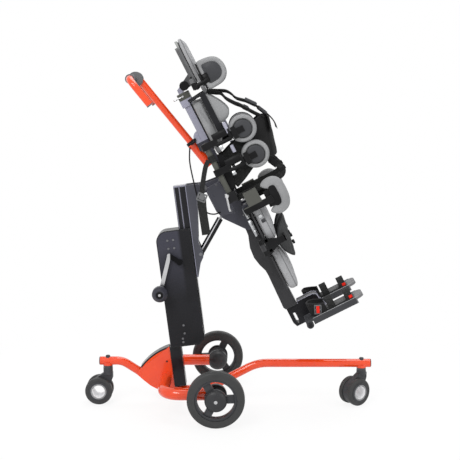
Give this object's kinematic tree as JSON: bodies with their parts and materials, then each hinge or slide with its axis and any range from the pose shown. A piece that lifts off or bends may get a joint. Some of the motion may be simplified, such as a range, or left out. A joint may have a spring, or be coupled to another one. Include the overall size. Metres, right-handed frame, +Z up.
{
  "type": "standing frame",
  "caption": "Standing frame with a rolling base, a crank lift column and a tilting body support with padded supports, harness, push handle and footplates.",
  "frame": {"origin": "centre of the footprint at floor level", "axes": "+X forward, the way the user faces; +Y to the user's left; +Z up"},
  "size_m": [1.054, 0.638, 1.3254],
  "materials": {
    "orange_paint": "gloss",
    "black_paint": "gloss",
    "black_plastic": "satin",
    "grey_plastic": "satin",
    "aluminium": "satin",
    "steel": "satin",
    "rubber": "matte",
    "grey_fabric": "matte",
    "black_fabric": "matte"
  },
  "bodies": {
    "base": {"chassis": "orange_paint", "fin_cover": "grey_plastic", "end_caps": "black_plastic", "wheel_axles": "steel", "column_post": "black_paint", "gear_housing": "black_plastic", "housing_cover": "black_plastic", "housing_screws": "steel"},
    "wheel_right": {"tyre_right": "rubber", "rim_right": "grey_plastic"},
    "wheel_left": {"tyre_left": "rubber", "rim_left": "grey_plastic"},
    "castor_rear": {"castor_fork_rear": "grey_plastic"},
    "castor_rear_wheels": {"castor_wheels_rear": "rubber"},
    "castor_front": {"castor_fork_front": "grey_plastic"},
    "castor_front_wheels": {"castor_wheels_front": "rubber"},
    "lift": {"mast": "aluminium", "carriage": "black_paint", "pivot_pins": "steel"},
    "spindle": {"lift_spindle": "steel"},
    "crank": {"crank_arm": "steel"},
    "crank_knob": {"crank_knob": "black_plastic"},
    "support": {"tilt_frame": "black_paint", "leg_beam": "black_plastic", "back_plate": "black_paint", "back_cushion": "grey_fabric", "shoulder_pads": "grey_fabric", "side_rails": "black_paint", "thigh_cushions": "grey_fabric", "calf_cushions": "grey_fabric", "chest_panel": "black_fabric", "straps": "black_fabric", "release_cable": "black_plastic", "head_clamp": "black_paint", "handle_sleeve": "orange_paint"},
    "strut_tube": {"strut_cylinder": "black_paint"},
    "strut_rod": {"strut_rod": "steel"},
    "head_stem": {"head_stem": "aluminium"},
    "head": {"head_plate": "grey_plastic", "head_cushion": "grey_fabric"},
    "head_knob": {"head_knob": "black_plastic"},
    "head_side_right": {"head_side_pad_right": "grey_fabric"},
    "head_side_left": {"head_side_pad_left": "grey_fabric"},
    "handle": {"push_handle": "orange_paint", "handle_grip": "rubber"},
    "chest_right": {"chest_arms_right": "black_paint", "chest_pads_right": "grey_fabric"},
    "chest_left": {"chest_arms_left": "black_paint", "chest_pads_left": "grey_fabric"},
    "hip_right": {"hip_arm_right": "black_paint", "hip_pad_right": "grey_fabric"},
    "hip_left": {"hip_arm_left": "black_paint", "hip_pad_left": "grey_fabric"},
    "knee_right": {"knee_cup_right": "black_fabric"},
    "knee_left": {"knee_cup_left": "black_fabric"},
    "foot_slide": {"foot_slide": "black_paint"},
    "foot_right": {"footplate_right": "grey_plastic", "sandal_right": "black_fabric"},
    "foot_left": {"footplate_left": "grey_plastic", "sandal_left": "black_fabric"}
  },
  "joints": [
    {"name": "wheel_right_spin", "type": "hinge", "parent": "base", "child": "wheel_right", "pos_m": [-0.042, -0.285, 0.1], "axis": [0, 1, 0], "continuous": true},
    {"name": "wheel_left_spin", "type": "hinge", "parent": "base", "child": "wheel_left", "pos_m": [-0.042, 0.285, 0.1], "axis": [0, 1, 0], "continuous": true},
    {"name": "castor_rear_swivel", "type": "hinge", "parent": "base", "child": "castor_rear", "pos_m": [-0.444, 0, 0.12], "axis": [0, 0, 1], "continuous": true},
    {"name": "castor_rear_spin", "type": "hinge", "parent": "castor_rear", "child": "castor_rear_wheels", "pos_m": [-0.477, 0, 0.05], "axis": [0, 1, 0], "continuous": true},
    {"name": "castor_front_swivel", "type": "hinge", "parent": "base", "child": "castor_front", "pos_m": [0.492, 0, 0.11], "axis": [0, 0, 1], "continuous": true},
    {"name": "castor_front_spin", "type": "hinge", "parent": "castor_front", "child": "castor_front_wheels", "pos_m": [0.4653, -0.0194, 0.05], "axis": [-0.5878, 0.809, 0], "continuous": true},
    {"name": "mast_lift", "type": "slide", "parent": "base", "child": "lift", "axis": [-0.1253, 0, 0.9921], "range_m": [0, 0.16]},
    {"name": "crank_turn", "type": "hinge", "parent": "base", "child": "crank", "pos_m": [-0.1745, -0.05, 0.53668], "axis": [0, 1, 0], "range_deg": [0, 2880]},
    {"name": "spindle_turn", "type": "hinge", "parent": "base", "child": "spindle", "pos_m": [-0.15307, 0, 0.36703], "axis": [-0.1253, 0, 0.9921], "range_deg": [-2880, 0]},
    {"name": "crank_knob_spin", "type": "hinge", "parent": "crank", "child": "crank_knob", "pos_m": [-0.24445, -0.08, 0.42585], "axis": [0, 1, 0], "continuous": true},
    {"name": "tilt", "type": "hinge", "parent": "lift", "child": "support", "pos_m": [-0.08715, 0, 0.80273], "axis": [0, -1, 0], "range_deg": [-15, 35]},
    {"name": "strut_swing", "type": "hinge", "parent": "lift", "child": "strut_tube", "pos_m": [-0.09912, 0, 0.56233], "axis": [0, -1, 0], "range_deg": [-5, 5]},
    {"name": "strut_stroke", "type": "slide", "parent": "strut_tube", "child": "strut_rod", "axis": [0.4851, 0, 0.8745], "range_m": [-0.05, 0.09]},
    {"name": "head_height", "type": "slide", "parent": "support", "child": "head_stem", "axis": [-0.454, 0, 0.891], "range_m": [0, 0.06]},
    {"name": "head_angle", "type": "hinge", "parent": "head_stem", "child": "head", "pos_m": [-0.15475, 0, 1.16447], "axis": [0, -1, 0], "range_deg": [0, 20]},
    {"name": "head_knob_turn", "type": "hinge", "parent": "head", "child": "head_knob", "pos_m": [-0.15475, 0, 1.16447], "axis": [0, 1, 0], "continuous": true},
    {"name": "head_side_right", "type": "hinge", "parent": "head", "child": "head_side_right", "pos_m": [-0.11855, -0.122, 1.16832], "axis": [0.454, 0, -0.891], "range_deg": [0, 60]},
    {"name": "head_side_left", "type": "hinge", "parent": "head", "child": "head_side_left", "pos_m": [-0.11855, 0.122, 1.16832], "axis": [-0.454, 0, 0.891], "range_deg": [0, 60]},
    {"name": "handle_height", "type": "slide", "parent": "support", "child": "handle", "axis": [-0.632, 0, 0.7749], "range_m": [0, 0.06]},
    {"name": "chest_pads_right_swing", "type": "hinge", "parent": "support", "child": "chest_right", "pos_m": [-0.05397, -0.12, 0.90942], "axis": [0.454, 0, -0.891], "range_deg": [0, 90]},
    {"name": "chest_pads_left_swing", "type": "hinge", "parent": "support", "child": "chest_left", "pos_m": [-0.05397, 0.12, 0.90942], "axis": [-0.454, 0, 0.891], "range_deg": [0, 90]},
    {"name": "hip_pad_right_slide", "type": "slide", "parent": "support", "child": "hip_right", "axis": [0, -1, 0], "range_m": [0, 0.04]},
    {"name": "hip_pad_left_slide", "type": "slide", "parent": "support", "child": "hip_left", "axis": [0, 1, 0], "range_m": [0, 0.04]},
    {"name": "knee_cup_right_swing", "type": "hinge", "parent": "support", "child": "knee_right", "pos_m": [0.12363, -0.165, 0.6071], "axis": [0.454, 0, -0.891], "range_deg": [0, 80]},
    {"name": "knee_cup_left_swing", "type": "hinge", "parent": "support", "child": "knee_left", "pos_m": [0.12363, 0.165, 0.6071], "axis": [-0.454, 0, 0.891], "range_deg": [0, 80]},
    {"name": "foot_height", "type": "slide", "parent": "support", "child": "foot_slide", "axis": [-0.454, 0, 0.891], "range_m": [-0.03, 0]},
    {"name": "footplate_right_angle", "type": "hinge", "parent": "foot_slide", "child": "foot_right", "pos_m": [0.29031, -0.11, 0.33064], "axis": [0, -1, 0], "range_deg": [-5, 20]},
    {"name": "footplate_left_angle", "type": "hinge", "parent": "foot_slide", "child": "foot_left", "pos_m": [0.29031, 0.11, 0.33064], "axis": [0, -1, 0], "range_deg": [-5, 20]}
  ],
  "couplings": [
    {"joint": "crank_turn", "follows": "mast_lift", "rad_per_m": 314.16},
    {"joint": "spindle_turn", "follows": "mast_lift", "rad_per_m": -314.16},
    {"joint": "strut_swing", "follows": "tilt", "ratio": 0.012},
    {"joint": "strut_stroke", "follows": "tilt", "m_per_rad": 0.103}
  ]
}
